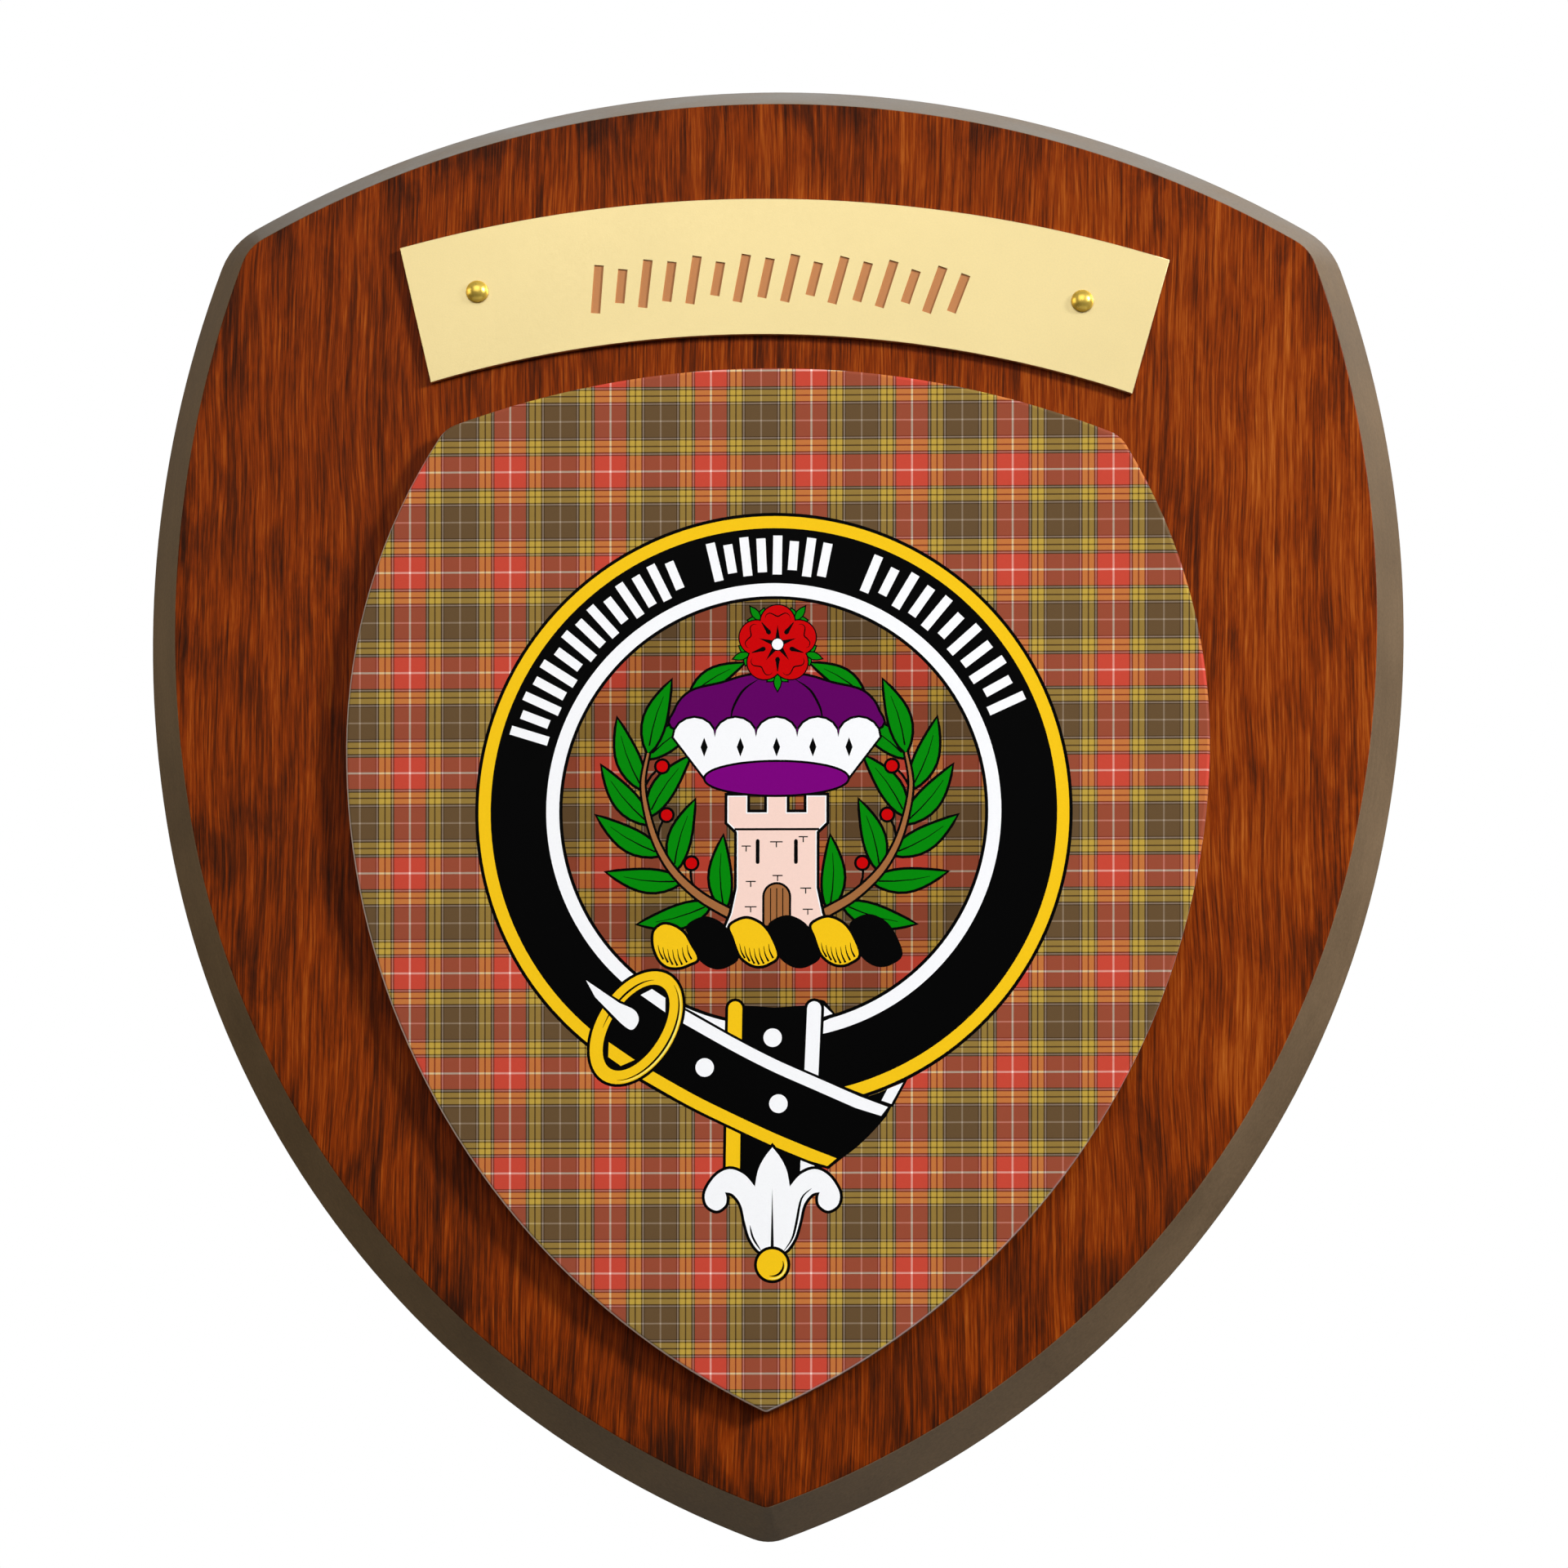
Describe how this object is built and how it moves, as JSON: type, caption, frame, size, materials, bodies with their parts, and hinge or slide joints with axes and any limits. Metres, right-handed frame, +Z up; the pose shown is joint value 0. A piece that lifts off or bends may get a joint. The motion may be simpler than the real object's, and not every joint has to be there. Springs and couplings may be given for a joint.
{
  "type": "wooden heraldic shield plaque",
  "caption": "Wall-hung shield plaque: bevelled wooden backboard, raised shield panel with a printed tartan and strap-and-buckle crest, and a curved brass name plate on dome pins.",
  "frame": {"origin": "middle of the back of the board, where it lies flat against the wall", "axes": "+Z up, the front faces -Y, +X to the viewer's right seen from the front, +Y into the wall"},
  "size_m": [0.3048, 0.0233, 0.3554],
  "materials": {
    "mahogany": "satin lacquered mahogany face with a brown painted bevel",
    "printed_panel": "hardboard with a smooth coated front printed with tartan and a crest, pale edge",
    "satin_brass": "pale satin brass, with engraved strokes filled in copper brown",
    "polished_brass": "polished"
  },
  "bodies": {
    "root": {"board": "mahogany", "panel": "printed_panel", "name_plate": "satin_brass", "pin_left": "polished_brass", "pin_right": "polished_brass"}
  },
  "joints": []
}
